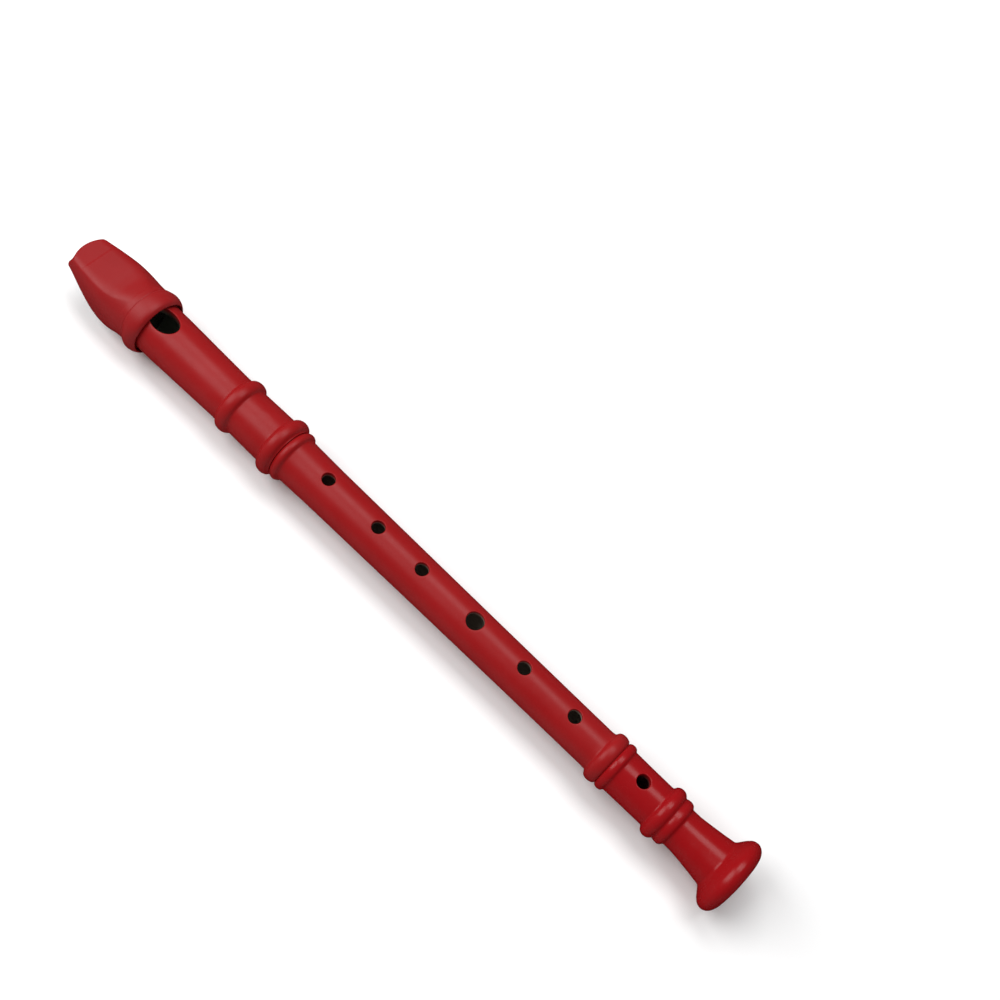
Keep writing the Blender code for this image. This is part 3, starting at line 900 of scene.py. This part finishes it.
def plastic(name, colours, roughness, sheen, grain, painted_bore_light_and_shade=None, shade=None):
    """Moulded plastic: faint clouds in the colour, rubbed patches in the gloss, and a fine grain.

    Sheen is the specular level and grain the strength of the bump. The bore colour is painted
    inside the tube in place of its light and shade, and shade gives the two distances from the axis
    between which it changes to the skin's colour.
    """
    material = bpy.data.materials.new(name)
    material.use_nodes = True
    tree = material.node_tree
    link = tree.links.new
    shader = tree.nodes["Principled BSDF"]
    shader.inputs["Specular IOR Level"].default_value = sheen
    shader.inputs["IOR"].default_value = PLASTIC_IOR
    place = tree.nodes.new("ShaderNodeTexCoord")

    skin = ramp(tree, noise(tree, place, *CLOUDS), CLOUD_RANGE, colours)
    # painted shade and painted light inside the tube, by the distance from the axis
    if painted_bore_light_and_shade:
        skin = paint_bore_light_and_shade(tree, place, painted_bore_light_and_shade, shade, skin)
    link(skin, shader.inputs["Base Color"])

    gloss = spread(tree, noise(tree, place, *RUBBED), roughness - RUBBED_SPREAD,
                   roughness + RUBBED_SPREAD)
    link(gloss, shader.inputs["Roughness"])
    bump = node(tree, "ShaderNodeBump", Strength=grain, Distance=GRAIN_HEIGHT)
    link(noise(tree, place, *GRAIN), bump.inputs["Height"])
    link(bump.outputs["Normal"], shader.inputs["Normal"])
    return material


# Linear colours, and for a skin the two ends of its clouding.
# painted shade: the dark green-black inside the head and on the window's wall
HEAD_BORE_PAINTED_SHADE = (0.100, 0.115, 0.088)
# painted light: the body's bore is a lit grey, for the light patch seen through the finger holes
BODY_BORE_PAINTED_LIGHT = (0.300, 0.260, 0.210)
# painted shade: the bell's inside darkens towards the axis
BELL_PAINTED_SHADE = (0.110, 0.030, 0.028)
# painted shade: the cap's red is a little darker than the head's, to dim the light on the beak
CAP_RED_WITH_PAINTED_SHADE = [(0.250, 0.0052, 0.0062), (0.276, 0.0076, 0.0090)]
SATIN = [(0.262, 0.0052, 0.0062), (0.288, 0.0076, 0.0090)]
GLOSSY = [(0.265, 0.0038, 0.0054), (0.285, 0.0052, 0.0076)]
DARK = [(0.030, 0.024, 0.020), (0.050, 0.040, 0.034)]


def build_materials():
    return {
        # the cap's darker red is painted shade
        "cap": plastic("satin_red_cap", CAP_RED_WITH_PAINTED_SHADE, roughness=0.44, sheen=0.22, grain=0.35),
        # the bore colours below paint shade inside the head and the bell, and light inside the body
        "head": plastic("satin_red_head", SATIN, roughness=0.37, sheen=0.19, grain=0.35,
                        painted_bore_light_and_shade=HEAD_BORE_PAINTED_SHADE, shade=(6.8 * MM, 9.2 * MM)),
        "body": plastic("satin_red_body", SATIN, roughness=0.37, sheen=0.19, grain=0.35,
                        painted_bore_light_and_shade=BODY_BORE_PAINTED_LIGHT, shade=(6.3 * MM, 7.4 * MM)),
        "foot": plastic("glossy_red", GLOSSY, roughness=0.25, sheen=0.20, grain=0.08,
                        painted_bore_light_and_shade=BELL_PAINTED_SHADE, shade=(5.6 * MM, 7.2 * MM)),
        "block": plastic("dark_block", DARK, roughness=0.28, sheen=0.5, grain=0.2),
    }


# ---- the stage ----

FLOOR_REACH = 6.0            # m
FLOOR_DROP = 0.0002          # m below the ground of the frame, at the rim
FLOOR_SHADE = (0.92, 0.92, 0.92)
FLOOR_ROUGHNESS = 0.9
FLOOR_SHEEN = 0.1
WORLD_STRENGTH = 0.32


def build_floor():
    """A pale floor just under the bell's rim, sloped to pass as close under the collar."""
    slope = (RIM_RADIUS - COLLAR_RADIUS) / (RIM_CREST - COLLAR)
    mesh = bpy.data.meshes.new("floor")
    work = bmesh.new()
    bmesh.ops.create_grid(work, x_segments=1, y_segments=1, size=FLOOR_REACH)
    work.to_mesh(mesh)
    work.free()
    floor = bpy.data.objects.new("floor", mesh)
    bpy.context.scene.collection.objects.link(floor)
    floor.rotation_euler = (0, math.atan(slope), 0)
    floor.location = (ORIGIN.x + RIM_CREST, 0, -FLOOR_DROP)
    material = bpy.data.materials.new("floor")
    material.use_nodes = True
    shader = material.node_tree.nodes["Principled BSDF"]
    shader.inputs["Base Color"].default_value = (*FLOOR_SHADE, 1)
    shader.inputs["Roughness"].default_value = FLOOR_ROUGHNESS
    shader.inputs["Specular IOR Level"].default_value = FLOOR_SHEEN
    mesh.materials.append(material)
    floor.visible_glossy = False


def add_light(name, place, size, power):
    """A soft rectangular light that faces the middle of the recorder.

    Its place is measured from there, and two of its sides lie along the recorder.
    """
    data = bpy.data.lights.new(name, "AREA")
    data.shape = "RECTANGLE"
    data.size, data.size_y = size
    data.energy = power
    light = bpy.data.objects.new(name, data)
    bpy.context.scene.collection.objects.link(light)
    way = Vector(place).normalized()
    side = (Vector((1, 0, 0)) - way * way.x).normalized()
    turn = Matrix((side, way.cross(side), way)).transposed()
    middle = Vector((0, 0, AXIS_HEIGHT))
    light.matrix_world = Matrix.Translation(middle + Vector(place)) @ turn.to_4x4()


def build_lights():
    """Two soft lights from above, and a white surround that shows in no reflection."""
    add_light("key", place=(-0.12, 0.32, 1.05), size=(1.1, 0.48), power=7.8)
    add_light("side", place=(-0.90, -0.42, 1.05), size=(1.4, 0.85), power=16.5)
    world = bpy.data.worlds.new("studio")
    bpy.context.scene.world = world
    world.use_nodes = True
    back = world.node_tree.nodes["Background"]
    back.inputs["Color"].default_value = (1, 1, 1, 1)
    back.inputs["Strength"].default_value = WORLD_STRENGTH
    world.cycles_visibility.glossy = False


CAMERA_DATUM = 38.0 * MM     # X that the camera's place is measured from
CAMERA_ROLL = math.radians(13.0)         # turns the place and directions below about X
CAMERA_PLACE = (226.4 * MM, -72.7 * MM, 480.2 * MM)
CAMERA_RIGHT = (0.7202, 0.6931, 0.0330)
CAMERA_FORWARD = (-0.1740, 0.2260, -0.9580)
CAMERA_SENSOR = 36.0         # mm
CAMERA_LENS = 50.27          # mm
CAMERA_NEAR = 0.01           # m


def rolled(vector):
    x, y, z = vector
    cos, sin = math.cos(CAMERA_ROLL), math.sin(CAMERA_ROLL)
    return Vector((x, y * cos - z * sin, z * cos + y * sin))


def build_camera():
    """Looks down on the front from the player's right, with the bell nearer than the beak."""
    right = rolled(CAMERA_RIGHT).normalized()
    forward = rolled(CAMERA_FORWARD)
    forward = (forward - right * forward.dot(right)).normalized()
    up_way = right.cross(forward)
    data = bpy.data.cameras.new("camera")
    data.sensor_width = CAMERA_SENSOR
    data.lens = CAMERA_LENS
    data.clip_start = CAMERA_NEAR
    camera = bpy.data.objects.new("camera", data)
    bpy.context.scene.collection.objects.link(camera)
    turn = Matrix((right, up_way, -forward)).transposed()
    place = ORIGIN + Vector((CAMERA_DATUM, 0, 0)) + rolled(CAMERA_PLACE)
    camera.matrix_world = Matrix.Translation(place) @ turn.to_4x4()
    bpy.context.scene.camera = camera
    bpy.context.scene.view_settings.view_transform = "Standard"


materials = build_materials()
build_cap(materials["cap"])
build_block(materials["block"])
build_head(materials["head"])
build_body(materials["body"])
build_foot(materials["foot"])
build_floor()
build_lights()
build_camera()
